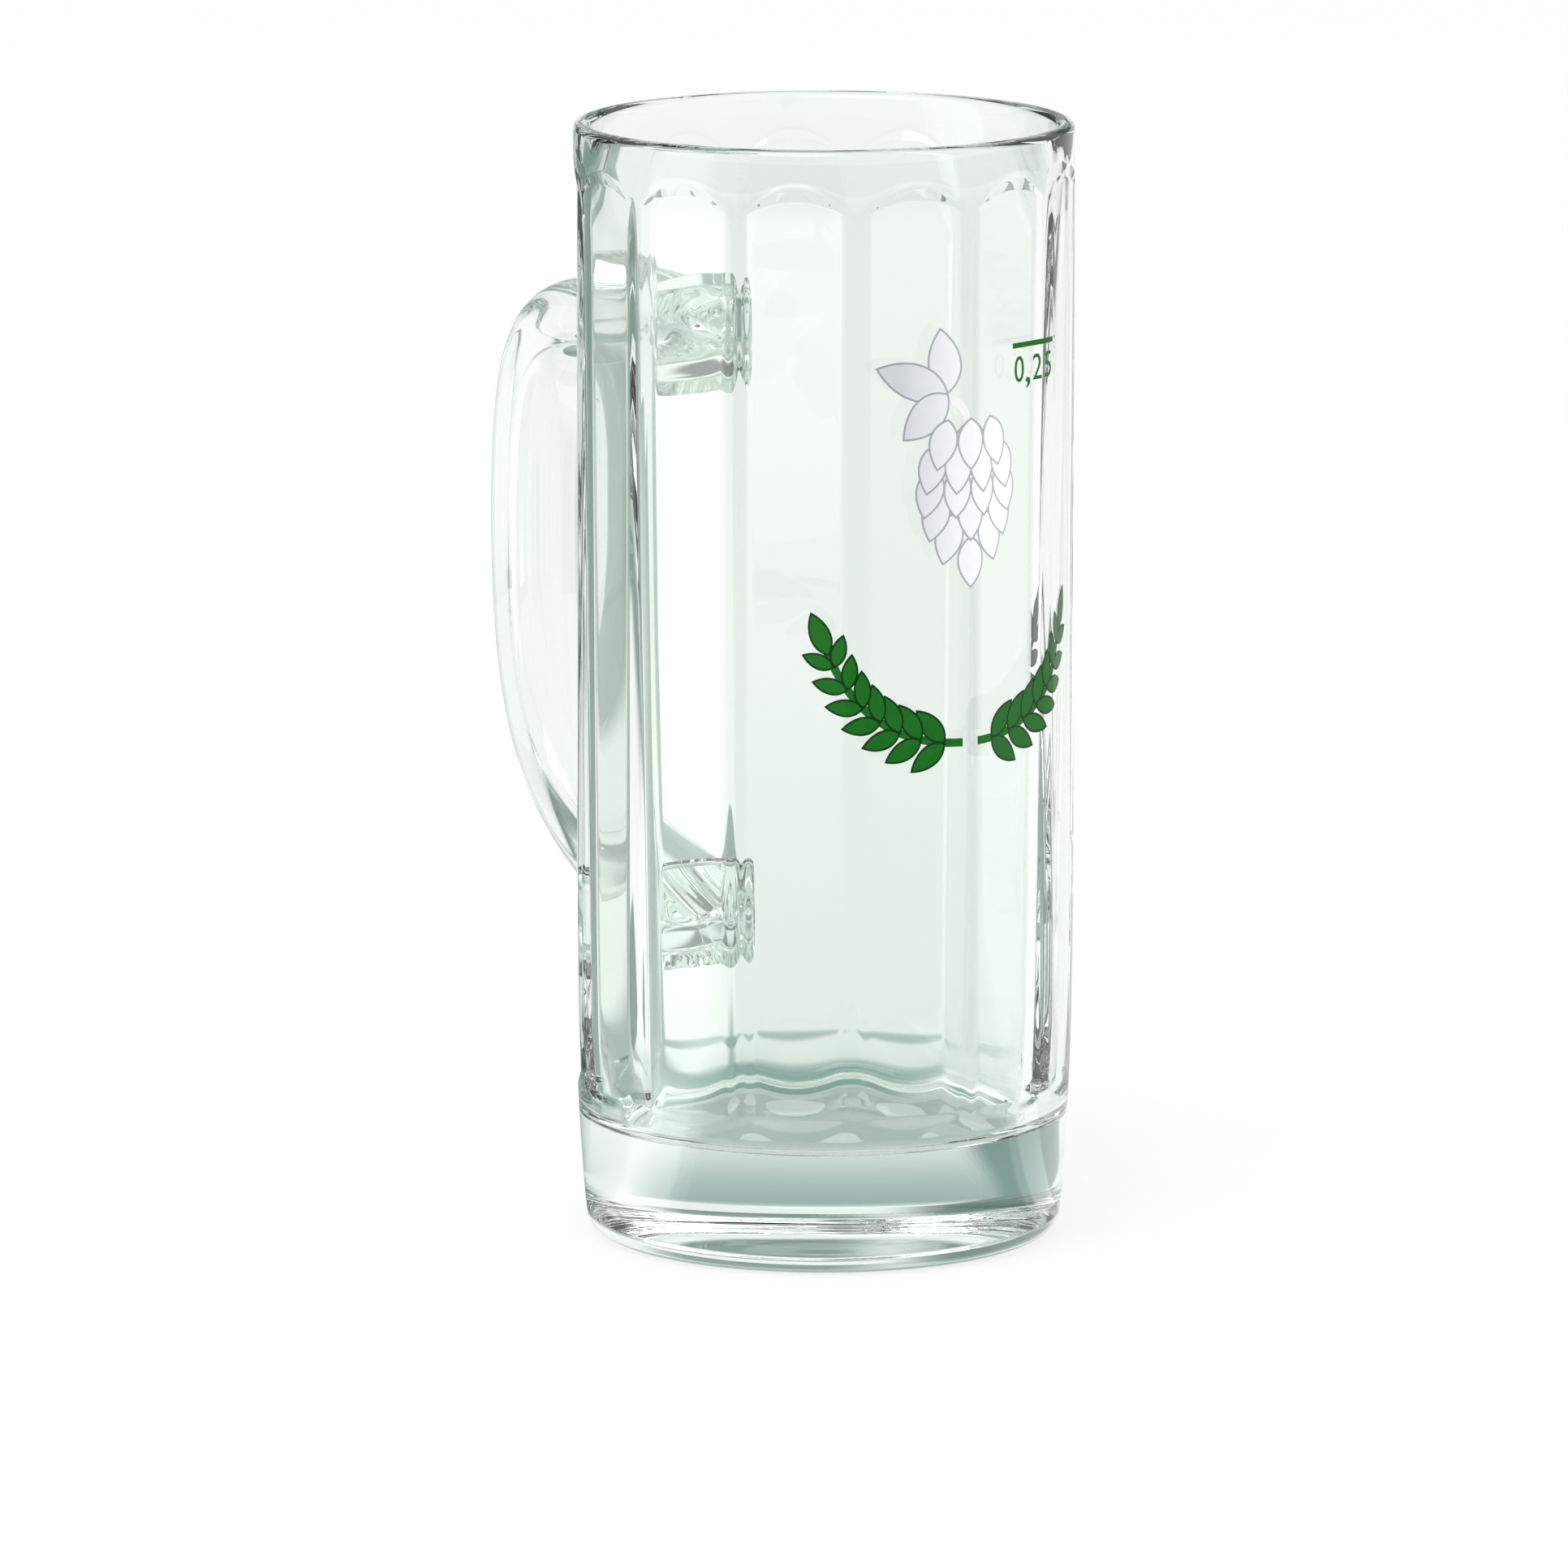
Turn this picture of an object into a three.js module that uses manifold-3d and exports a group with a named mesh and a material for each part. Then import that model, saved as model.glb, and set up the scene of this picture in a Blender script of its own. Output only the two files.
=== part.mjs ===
// A tall pressed-glass beer mug: a bowl with flat panels round it, a strap handle and enamel prints.
// Millimetres, +Z up. The origin is the middle of the foot, the handle points to -X, the prints face +X.

import * as THREE from 'three';
import { mergeVertices } from 'three/addons/utils/BufferGeometryUtils.js';
import Module from 'manifold-3d';

const wasm = await Module();
wasm.setup();

// Driving dimensions of the bowl
const mugHeight = 148.7;
const bodyRadius = 33.2; // over the lands, where the body is widest
const rimRadius = 33.0; // outside of the plain band at the lip
const baseTuck = 1.9; // how far the side draws in towards the foot
const tuckHeight = 50; // height below which the side draws in
const tuckPower = 2.5; // how late the side draws in, 1 is a straight cone
const heelRadius = 3.0; // rounding between the side and the flat foot
const lipThickness = 2.2; // glass at the lip, which is rounded over
const lipTaper = 14; // height over which the wall thins towards the lip
const wallTop = 3.5; // wall over the lands, under the lip's taper
const wallBottom = 5.4; // wall over the lands, at the floor's corner
const floorThickness = 15.5; // solid glass under the cavity
const cavityCorner = 2.2; // rounding between the cavity's wall and floor
const cavitySwell = 0.55; // how far the cavity's wall stands back behind a land, so a panel is flat inside too
const swellFade = 12; // height over which that grows from the cavity's corner up

// Driving dimensions of the panels pressed into the side
const panelCount = 13;
const landWidth = 2.7; // plain strip left between two panels
const panelDepth = 0.5; // at the middle of a panel
const bandHeight = 4.9; // plain band from the top of the arches to the lip
const archRise = 3.5; // from the foot of an arch to its top
const panelFoot = 19.7; // height of the lowest point of a panel
const panelFootRise = 1.3; // the rounded bottom of a panel

// Driving dimensions of the handle
const handleReach = 37.3; // from the body's side to the outermost point of the handle
const handleWidth = 15.2;
const handleThickness = 9.6;
const sectionPower = 3.2; // 2 is an ellipse, more is squarer
const upperRootDrop = 33.1; // from the lip down to the middle of the upper root
const lowerRootHeight = 37.6; // height of the middle of the lower root
const gripDrop = 27.6; // from the upper root down to the outermost point
const upperArmRun = 30; // pull of the curve outwards at the upper root
const upperArmRise = 6.4; // and upwards
const shoulderPull = 27.4; // pull of the curve upwards from the outermost point
const sweepPull = 30.8; // pull of the curve downwards from the outermost point
const lowerArmRun = 28.5; // pull of the curve outwards at the lower root
const lowerArmRise = 10.4; // and upwards
const rootFlare = 3.0; // growth of the handle's thickness, each way, where it meets the wall
const rootSpread = 0.4; // growth of its width, each way, there
const flareLength = 5; // distance from the wall over which the handle grows
const rootSink = 3; // how far the untrimmed handle runs into the wall
const seatGap = 0.3; // clearance between the handle's roots and the wall

// Driving dimensions of the enamel prints
const printGap = 0.15; // clearance between a print and the glass
const printThickness = 0.25;
const printSpacing = 2.2; // free glass between two prints
const fillDrop = 27; // from the lip down to the fill line
const fillLineLength = 9;
const fillLineWidth = 0.7;
const fillMarkArc = 12.5; // along the wall from the prints' middle to the fill mark's
const digitHeight = 3.4;
const digitWidth = 1.9;
const digitPitch = 2.5;
const commaSpace = 1.3; // the comma's share of the number's length
const digitStroke = 0.5;
const coneHeight = 22.5; // the hop cone
const coneWidth = 15;
const coneRows = 6; // rows of bracts
const bractLength = 7;
const bractWidth = 4.6;
const bractTilt = 14; // degrees that the outermost bracts lean out
const hopLeafLength = 11;
const sideLobeLength = 8.8;
const hopLeafWidth = 5.4;
const hopLeafTurn = 160; // degrees from the right to the leaf's middle lobe
const hopLeafSpread = 62; // degrees between the leaf's lobes
const hopLeafOffset = 3.3; // from the cone's top to the leaf's base, sideways and up
const stemWidth = 1.1;
const sprayReach = 25; // along the wall from the middle to the tip of a spray
const sprayRise = 13; // from the foot of a spray's stem to its tip
const sprayGap = 2.4; // free glass between the two sprays' stems
const sprayPairs = 7; // pairs of leaves on a spray
const sprayLeafLength = 6.2;
const sprayLeafWidth = 3.2;
const sprayLeafTilt = 42; // degrees between a leaf and its stem

// Steps of the facets
const panelSteps = 5;
const heelSteps = 4;
const lipSteps = 6;
const cornerSteps = 4;
const archSteps = 5;
const handleSteps = 30;
const handleSides = 16;
const curveSteps = 6;

// Values worked out from the driving dimensions
const archTop = mugHeight - bandHeight;
const archSpring = archTop - archRise;
const panelShoulder = panelFoot + panelFootRise;
const panelPitch = (2 * Math.PI) / panelCount;
const halfPanel = panelPitch / 2 - landWidth / 2 / bodyRadius;
const upperRootHeight = mugHeight - upperRootDrop;
const gripHeight = upperRootHeight - gripDrop;
const fillHeight = mugHeight - fillDrop;
const coneTop = fillHeight - fillLineWidth - digitHeight - 2 * printSpacing;
const coneBottom = coneTop - coneHeight;
const sprayTop = coneBottom - printSpacing;

// Materials
function finish(color, roughness) {
  return new THREE.MeshStandardMaterial({ color, roughness, metalness: 0 });
}
const glass = new THREE.MeshStandardMaterial({
  color: 0xe4f1ea, roughness: 0.04, metalness: 0, transparent: true, opacity: 0.35,
});
const whiteEnamel = finish(0xf4f6f5, 0.3);
const greenEnamel = finish(0x0f6a2b, 0.3);

// Solids: closed surfaces over rings of points, joins and cuts
function surface(vertices, triangles) {
  const geometry = new THREE.BufferGeometry();
  geometry.setAttribute('position', new THREE.Float32BufferAttribute(vertices, 3));
  geometry.setIndex(triangles);
  geometry.computeVertexNormals();
  return geometry;
}

// A closed surface through rings with the same number of points: capped at both ends, or joined end to end.
function loft(rings, isLoop = false) {
  const sides = rings[0].length;
  const vertices = rings.flat().flatMap((point) => point.toArray());
  const triangles = [];
  const spans = isLoop ? rings.length : rings.length - 1;
  for (let span = 0; span < spans; span += 1) {
    const lower = span * sides;
    const upper = ((span + 1) % rings.length) * sides;
    for (let side = 0; side < sides; side += 1) {
      const next = (side + 1) % sides;
      triangles.push(lower + side, lower + next, upper + next);
      triangles.push(lower + side, upper + next, upper + side);
    }
  }
  if (!isLoop) {
    const last = (rings.length - 1) * sides;
    const firstMiddle = vertices.length / 3;
    for (const ring of [rings[0], rings.at(-1)]) {
      const middle = ring.reduce((sum, point) => sum.add(point), new THREE.Vector3());
      vertices.push(...middle.divideScalar(sides).toArray());
    }
    for (let side = 0; side < sides; side += 1) {
      const next = (side + 1) % sides;
      triangles.push(firstMiddle, next, side);
      triangles.push(firstMiddle + 1, last + side, last + next);
    }
  }
  return surface(vertices, triangles);
}

function solid(geometry) {
  const bare = geometry.clone();
  bare.deleteAttribute('normal');
  bare.deleteAttribute('uv');
  const merged = mergeVertices(bare);
  return new wasm.Manifold(new wasm.Mesh({
    numProp: 3,
    vertProperties: new Float32Array(merged.attributes.position.array),
    triVerts: new Uint32Array(merged.index.array),
  }));
}

function toGeometry(manifold) {
  const mesh = manifold.getMesh();
  return surface(Array.from(mesh.vertProperties), Array.from(mesh.triVerts));
}

// Points after the first value, up to and including the last
function spread(first, last, steps) {
  return Array.from({ length: steps }, (_, step) => first + ((last - first) * (step + 1)) / steps);
}

// The bowl's side: the radius over the lands, and how deep a panel lies below it
function sideRadius(z) {
  const taper = (bodyRadius - rimRadius) * Math.max(0, (z - tuckHeight) / (mugHeight - tuckHeight));
  const tuck = baseTuck * Math.max(0, 1 - z / tuckHeight) ** tuckPower;
  return bodyRadius - taper - tuck;
}

function panelInset(across, z) {
  const run = Math.min(1, (archTop - z) / archRise, (z - panelFoot) / panelFootRise);
  return Math.max(0, panelDepth * (run - across ** 2));
}

// Every ring of the bowl has the same columns: both edges of each panel and a few lines between them.
const columns = [];
for (let panel = 0; panel < panelCount; panel += 1) {
  for (let step = 0; step <= panelSteps; step += 1) {
    const across = (2 * step) / panelSteps - 1;
    columns.push({ across, angle: Math.PI + panel * panelPitch + across * halfPanel });
  }
}

function roundRing(radius, z) {
  return columns.map(({ angle }) => (
    new THREE.Vector3(radius * Math.cos(angle), radius * Math.sin(angle), z)
  ));
}

function cavityRing(radius, z) {
  return columns.map(({ across, angle }) => {
    const swollen = radius + cavitySwell * across ** 2;
    return new THREE.Vector3(swollen * Math.cos(angle), swollen * Math.sin(angle), z);
  });
}

function sideRing(z, grow = 0) {
  return columns.map(({ across, angle }) => {
    const radius = sideRadius(z) - panelInset(across, z) + grow;
    return new THREE.Vector3(radius * Math.cos(angle), radius * Math.sin(angle), z);
  });
}

const lipRadius = lipThickness / 2;
const sideLevels = [
  ...spread(heelRadius, panelFoot, 3),
  ...spread(panelFoot, panelShoulder, 3),
  ...spread(panelShoulder, tuckHeight, 3),
  archSpring,
  ...spread(archSpring, archTop, archSteps),
  mugHeight - lipRadius,
];

function bowl() {
  const rings = [];
  const heelMiddle = sideRadius(heelRadius) - heelRadius;
  for (const turn of [0, ...spread(0, Math.PI / 2, heelSteps)]) {
    rings.push(roundRing(heelMiddle + heelRadius * Math.sin(turn), heelRadius * (1 - Math.cos(turn))));
  }
  rings.push(...sideLevels.map((z) => sideRing(z)));
  const lipMiddle = rimRadius - lipRadius;
  for (const turn of spread(0, Math.PI, lipSteps)) {
    rings.push(roundRing(
      lipMiddle + lipRadius * Math.cos(turn),
      mugHeight - lipRadius + lipRadius * Math.sin(turn),
    ));
  }
  const taperHeight = mugHeight - lipTaper;
  const taperRadius = sideRadius(taperHeight) - wallTop;
  const cornerHeight = floorThickness + cavityCorner;
  const cornerRadius = sideRadius(cornerHeight) - wallBottom;
  const swellShare = swellFade / (taperHeight - cornerHeight);
  const swellRadius = cornerRadius + swellShare * (taperRadius - cornerRadius);
  rings.push(cavityRing(taperRadius, taperHeight));
  rings.push(cavityRing(swellRadius, cornerHeight + swellFade));
  const cornerMiddle = cornerRadius - cavityCorner;
  for (const turn of [0, ...spread(0, Math.PI / 2, cornerSteps)]) {
    rings.push(roundRing(
      cornerMiddle + cavityCorner * Math.cos(turn),
      cornerHeight - cavityCorner * Math.sin(turn),
    ));
  }
  return loft(rings);
}

// The handle: a rounded strap along two curves that meet at its outermost point, trimmed by the wall.
function handlePath() {
  const wall = rootSink - bodyRadius;
  const grip = handleThickness / 2 - bodyRadius - handleReach;
  const at = (x, z) => new THREE.Vector3(x, 0, z);
  const path = new THREE.CurvePath();
  path.add(new THREE.CubicBezierCurve3(
    at(wall, upperRootHeight),
    at(wall - upperArmRun, upperRootHeight + upperArmRise),
    at(grip, gripHeight + shoulderPull),
    at(grip, gripHeight),
  ));
  path.add(new THREE.CubicBezierCurve3(
    at(grip, gripHeight),
    at(grip, gripHeight - sweepPull),
    at(wall - lowerArmRun, lowerRootHeight + lowerArmRise),
    at(wall, lowerRootHeight),
  ));
  return path;
}

function squircle(turn) {
  const soften = (value) => Math.sign(value) * Math.abs(value) ** (2 / sectionPower);
  return [soften(Math.cos(turn)), soften(Math.sin(turn))];
}

function handle() {
  const path = handlePath();
  const sideways = new THREE.Vector3(0, 1, 0);
  const rings = [0, ...spread(0, 1, handleSteps)].map((along) => {
    const middle = path.getPoint(along);
    const tangent = path.getTangent(along);
    const across = new THREE.Vector3().crossVectors(sideways, tangent).normalize();
    const fromWall = -middle.x - bodyRadius;
    const grow = Math.min(1, Math.max(0, 1 - fromWall / flareLength)) ** 2;
    return Array.from({ length: handleSides }, (_, side) => {
      const [inThickness, inWidth] = squircle((2 * Math.PI * (side + 0.5)) / handleSides);
      return middle.clone()
        .addScaledVector(across, inThickness * (handleThickness / 2 + grow * rootFlare))
        .addScaledVector(sideways, inWidth * (handleWidth / 2 + grow * rootSpread));
    });
  });
  const wall = loft([0, ...sideLevels].map((z) => sideRing(z, seatGap)));
  return toGeometry(solid(loft(rings)).subtract(solid(wall)));
}

// Prints: flat outlines, with x along the wall and y as height, wrapped onto a thin shell round the body.
const printLevels = sideLevels.filter((z) => z >= panelShoulder && z <= archSpring);
const printShell = solid(loft([
  ...printLevels.map((z) => sideRing(z, printGap + printThickness)),
  ...printLevels.toReversed().map((z) => sideRing(z, printGap)),
], true));
const facing = new THREE.Matrix4().makeBasis(
  new THREE.Vector3(0, 1, 0),
  new THREE.Vector3(0, 0, 1),
  new THREE.Vector3(1, 0, 0),
);

function print(...shapes) {
  const prisms = shapes.map((shape) => {
    const prism = new THREE.ExtrudeGeometry(shape, {
      depth: 2 * bodyRadius, bevelEnabled: false, curveSegments: curveSteps,
    });
    prism.applyMatrix4(facing);
    const { position } = prism.attributes;
    for (let index = 0; index < position.count; index += 1) {
      position.setY(index, bodyRadius * Math.sin(position.getY(index) / bodyRadius));
    }
    return solid(prism);
  });
  return toGeometry(prisms.reduce((sum, prism) => sum.add(prism)).intersect(printShell));
}

// A pointed oval from its base, in a direction given in degrees from +x
function leaf(base, degrees, length, width) {
  const along = new THREE.Vector2(1, 0).rotateAround(new THREE.Vector2(), THREE.MathUtils.degToRad(degrees));
  const across = new THREE.Vector2(-along.y, along.x);
  const at = (share, side) => (
    base.clone().addScaledVector(along, share * length).addScaledVector(across, side * width)
  );
  const shape = new THREE.Shape();
  shape.moveTo(...at(0, 0));
  shape.bezierCurveTo(...at(0.2, -0.6), ...at(0.65, -0.6), ...at(1, 0));
  shape.bezierCurveTo(...at(0.65, 0.6), ...at(0.2, 0.6), ...at(0, 0));
  return shape;
}

// A line of even width through points
function stroke(points, width) {
  const edge = (side) => points.map((point, index) => {
    const before = points[Math.max(0, index - 1)];
    const after = points[Math.min(points.length - 1, index + 1)];
    const along = after.clone().sub(before).normalize();
    return new THREE.Vector2(-along.y, along.x).multiplyScalar((side * width) / 2).add(point);
  });
  return new THREE.Shape([...edge(-1), ...edge(1).reverse()]);
}

function hopPrint() {
  const rowStep = (coneHeight - bractLength) / (coneRows - 1);
  const halfCone = (coneWidth - bractWidth) / 2;
  const coneBase = new THREE.Vector2(0, coneTop);
  const core = leaf(coneBase, -90, coneHeight - bractLength / 2, coneWidth - bractWidth);
  const shapes = [core];
  for (let row = 0; row < coneRows; row += 1) {
    const share = row / (coneRows - 1);
    const halfRow = halfCone * Math.sin(Math.PI * (0.22 + 0.78 * share));
    const bracts = 1 + Math.round((2 * halfRow) / (bractWidth * 0.8));
    for (let bract = 0; bract < bracts; bract += 1) {
      const side = bracts > 1 ? (2 * bract) / (bracts - 1) - 1 : 0;
      const base = new THREE.Vector2(side * halfRow, coneTop - row * rowStep);
      shapes.push(leaf(base, -90 + bractTilt * side, bractLength, bractWidth));
    }
  }
  const leafBase = new THREE.Vector2(-hopLeafOffset, coneTop + hopLeafOffset);
  for (const lobe of [-1, 0, 1]) {
    const length = lobe === 0 ? hopLeafLength : sideLobeLength;
    shapes.push(leaf(leafBase, hopLeafTurn + lobe * hopLeafSpread, length, hopLeafWidth));
  }
  const stem = new THREE.QuadraticBezierCurve(
    new THREE.Vector2(0, coneTop - bractLength / 2),
    new THREE.Vector2(0, leafBase.y),
    new THREE.Vector2(leafBase.x - hopLeafLength / 4, leafBase.y),
  );
  shapes.push(stroke(stem.getPoints(curveSteps), stemWidth));
  return print(...shapes);
}

function sprayPrint(side) {
  const at = (x, y) => new THREE.Vector2(side * x, y);
  const tipHeight = sprayTop - sprayLeafLength * 0.8;
  const footHeight = tipHeight - sprayRise;
  const stem = new THREE.QuadraticBezierCurve(
    at(sprayGap / 2, footHeight),
    at(sprayReach * 0.6, footHeight),
    at(sprayReach - sprayLeafLength * 0.8, tipHeight),
  );
  const shapes = [stroke(stem.getPoints(2 * curveSteps), stemWidth)];
  const heading = (along) => THREE.MathUtils.radToDeg(stem.getTangent(along).angle());
  for (let pair = 0; pair < sprayPairs; pair += 1) {
    const along = (pair + 0.7) / (sprayPairs + 0.4);
    const share = 1 - 0.3 * (pair / sprayPairs);
    for (const tilt of [-sprayLeafTilt, sprayLeafTilt]) {
      shapes.push(leaf(
        stem.getPoint(along),
        heading(along) + tilt,
        sprayLeafLength * share,
        sprayLeafWidth * share,
      ));
    }
  }
  shapes.push(leaf(stem.getPoint(0.97), heading(1), sprayLeafLength, sprayLeafWidth));
  return print(...shapes);
}

// The fill mark: a line, and under it the plain number of its volume
const numberLength = 2 * digitPitch + commaSpace + digitWidth;
const numberStart = fillMarkArc - numberLength / 2;
const numberFoot = fillHeight - fillLineWidth / 2 - printSpacing / 2 - digitHeight;

function fillLinePrint() {
  const shape = new THREE.Shape();
  const half = fillLineLength / 2;
  shape.moveTo(fillMarkArc - half, fillHeight - fillLineWidth / 2);
  shape.lineTo(fillMarkArc + half, fillHeight - fillLineWidth / 2);
  shape.lineTo(fillMarkArc + half, fillHeight + fillLineWidth / 2);
  shape.lineTo(fillMarkArc - half, fillHeight + fillLineWidth / 2);
  return print(shape);
}

function zeroPrint(left) {
  const middle = [left + digitWidth / 2, numberFoot + digitHeight / 2];
  const shape = new THREE.Shape();
  shape.absellipse(...middle, digitWidth / 2, digitHeight / 2, 0, 2 * Math.PI);
  const hole = new THREE.Path();
  hole.absellipse(...middle, digitWidth / 2 - digitStroke, digitHeight / 2 - digitStroke, 0, 2 * Math.PI, true);
  shape.holes.push(hole);
  return print(shape);
}

function commaPrint(left) {
  const head = new THREE.Vector2(left + digitStroke, numberFoot + digitStroke);
  return print(leaf(head, -110, 3 * digitStroke, 2 * digitStroke));
}

// Digits drawn as a line inside their box, from the driving width, height and stroke
function digitLine(left) {
  const inner = digitWidth - digitStroke;
  const at = (across, up) => new THREE.Vector2(
    left + digitStroke / 2 + across * inner,
    numberFoot + digitStroke / 2 + up * (digitHeight - digitStroke),
  );
  const arc = (middle, height, from, to, isClockwise) => new THREE.EllipseCurve(
    middle.x, middle.y, inner / 2, height, from, to, isClockwise,
  ).getPoints(curveSteps);
  return { at, arc };
}

function twoPrint(left) {
  const { at, arc } = digitLine(left);
  const top = arc(at(0.5, 0.72), (digitHeight - digitStroke) * 0.28, Math.PI, -0.4, true);
  return print(stroke([...top, at(0, 0)], digitStroke), stroke([at(-0.15, 0), at(1, 0)], digitStroke));
}

function fivePrint(left) {
  const { at, arc } = digitLine(left);
  const belly = arc(at(0.45, 0.31), (digitHeight - digitStroke) * 0.31, 2.3, -2.6, true);
  return print(
    stroke(belly, digitStroke),
    stroke([belly[0], at(0.15, 1)], digitStroke),
    stroke([at(0, 1), at(0.95, 1)], digitStroke),
  );
}

// Assembly
const mug = new THREE.Group();

function place(name, geometry, material) {
  const mesh = new THREE.Mesh(geometry, material);
  mesh.name = name;
  mug.add(mesh);
}

place('bowl', bowl(), glass);
place('handle', handle(), glass);
place('hop_print', hopPrint(), whiteEnamel);
place('left_spray_print', sprayPrint(-1), greenEnamel);
place('right_spray_print', sprayPrint(1), greenEnamel);
place('fill_line_print', fillLinePrint(), greenEnamel);
place('fill_digit_0', zeroPrint(numberStart), greenEnamel);
place('fill_comma', commaPrint(numberStart + digitPitch), greenEnamel);
place('fill_digit_2', twoPrint(numberStart + digitPitch + commaSpace), greenEnamel);
place('fill_digit_5', fivePrint(numberStart + 2 * digitPitch + commaSpace), greenEnamel);

export default mug;
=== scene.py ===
# %% [markdown]
# # A pressed-glass beer mug
# This lesson dresses a CAD model of a tall beer mug. The CAD model fixes every size and place, and is
# loaded first as a frame that nothing here may move. Glass is mostly shape and surroundings: the wall, the
# panels and the lip bend the light, and what stands round the mug decides what the bent light shows.

# %% Load the frame
import math

import bmesh
import bpy
from mathutils import Matrix, Vector


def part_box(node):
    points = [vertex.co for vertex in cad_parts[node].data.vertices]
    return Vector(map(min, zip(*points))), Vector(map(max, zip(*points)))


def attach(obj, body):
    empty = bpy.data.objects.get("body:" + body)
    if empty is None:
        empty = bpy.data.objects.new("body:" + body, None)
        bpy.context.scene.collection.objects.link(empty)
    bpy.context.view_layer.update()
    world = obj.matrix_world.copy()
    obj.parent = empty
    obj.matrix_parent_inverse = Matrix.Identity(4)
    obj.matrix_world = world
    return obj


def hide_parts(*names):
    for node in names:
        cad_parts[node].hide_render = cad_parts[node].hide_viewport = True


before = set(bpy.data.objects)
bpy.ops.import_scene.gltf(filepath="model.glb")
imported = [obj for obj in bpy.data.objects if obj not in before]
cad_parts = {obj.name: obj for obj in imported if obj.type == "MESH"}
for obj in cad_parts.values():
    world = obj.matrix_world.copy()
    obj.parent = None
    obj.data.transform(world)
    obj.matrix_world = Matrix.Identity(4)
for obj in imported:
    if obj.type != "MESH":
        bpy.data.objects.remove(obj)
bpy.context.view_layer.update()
MM = 0.001
print("CAD nodes:", ", ".join(sorted(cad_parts)))

# %% [markdown]
# ## The camera
# The photo was taken with a long lens from a little above the lip. A pinhole camera has few unknowns:
# where it stands, where it looks and how long its lens is. The rim's ellipse gives the height, and the two
# sides' lean gives the distance. The mug isn't in the middle of the picture, so the camera looks past it.

# %% Camera
PHOTO_SIDE = 1932
FOCAL_PX = 15540
MUG_MIDDLE_PX = (1014.65, 835.15)
CAMERA_AZIMUTH = math.radians(54.8)
CAMERA_HEIGHT = math.radians(9.56)
CAMERA_DISTANCE = 1.67
SENSOR = 36

mug_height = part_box("bowl")[1].z
mug_middle = Vector((0, 0, mug_height / 2))


def add_camera():
    """A camera at the photo's place, turned so that the mug's middle falls on its pixel."""
    back = Vector((
        math.sin(CAMERA_AZIMUTH) * math.cos(CAMERA_HEIGHT),
        -math.cos(CAMERA_AZIMUTH) * math.cos(CAMERA_HEIGHT),
        math.sin(CAMERA_HEIGHT),
    ))
    right = Vector((math.cos(CAMERA_AZIMUTH), math.sin(CAMERA_AZIMUTH), 0))
    up = back.cross(right)
    off_right = (MUG_MIDDLE_PX[0] - PHOTO_SIDE / 2) / FOCAL_PX * CAMERA_DISTANCE
    off_up = (PHOTO_SIDE / 2 - MUG_MIDDLE_PX[1]) / FOCAL_PX * CAMERA_DISTANCE
    place = mug_middle + back * CAMERA_DISTANCE
    aim = mug_middle - right * off_right - up * off_up
    data = bpy.data.cameras.new("camera")
    data.sensor_width = SENSOR
    data.lens = FOCAL_PX / PHOTO_SIDE * SENSOR
    data.clip_start = 0.05
    camera = bpy.data.objects.new("camera", data)
    camera.location = place
    camera.rotation_euler = (aim - place).to_track_quat("-Z", "Y").to_euler()
    bpy.context.collection.objects.link(camera)
    bpy.context.scene.camera = camera
    return camera


camera = add_camera()
bpy.context.scene.view_settings.view_transform = "Standard"
print("lens in mm:", round(camera.data.lens, 1))

# %% [markdown]
# ## Writing shaders as sums
# A shader is a graph of nodes, and a graph is hard to read in code. A small class wraps an output, so that
# `1 - mask * 0.5` adds the Math nodes by itself, and one method adds any other node.


# %% Shader helpers
class Value:
    """A node's output. Sums with it add Math nodes to its tree."""

    def __init__(self, graph, socket):
        self.graph = graph
        self.socket = socket

    def math(self, operation, *others):
        values = dict(enumerate([self, *others]))
        return self.graph.add("ShaderNodeMath", {"operation": operation}, values)

    def __add__(self, other):
        return self.math("ADD", other)

    def __radd__(self, other):
        return self.math("ADD", other)

    def __sub__(self, other):
        return self.math("SUBTRACT", other)

    def __rsub__(self, other):
        return self.graph.add("ShaderNodeMath", {"operation": "SUBTRACT"}, {0: other, 1: self})

    def __mul__(self, other):
        return self.math("MULTIPLY", other)

    def __rmul__(self, other):
        return self.math("MULTIPLY", other)

    def __truediv__(self, other):
        return self.math("DIVIDE", other)

    def larger(self, other):
        return self.math("MAXIMUM", other)

    def smaller(self, other):
        return self.math("MINIMUM", other)


class Graph:
    """The node tree of a material or of the world."""

    def __init__(self, owner):
        owner.use_nodes = True
        self.tree = owner.node_tree
        self.tree.nodes.clear()

    def add(self, kind, settings=None, inputs=None, output=0):
        node = self.tree.nodes.new(kind)
        for name, value in (settings or {}).items():
            setattr(node, name, value)
        for name, value in (inputs or {}).items():
            if isinstance(value, Value):
                self.tree.links.new(value.socket, node.inputs[name])
            else:
                node.inputs[name].default_value = value
        return Value(self, node.outputs[output]) if node.outputs else None


def new_material(name):
    material = bpy.data.materials.new(name)
    return material, Graph(material)


# %% [markdown]
# ## The glass
# Soda-lime glass bends light by an index of about 1.52 and is slightly green. Two walls of clear glass
# take away a seventh of the light by reflection alone, and the tint takes a little more. It grows towards
# the thick base. A volume shader could give the tint by depth, but it is slow, and a coloured surface is
# enough for a thin wall. Pressed glass is never dead flat, so a slow ripple bends its surface by a hair.

# %% Glass material
GLASS_INDEX = 1.52
BASE_TINT = (0.862, 0.928, 0.894, 1)
LIP_TINT = (0.894, 0.932, 0.902, 1)
RIPPLE_DEPTH = 0.01 * MM


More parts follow.
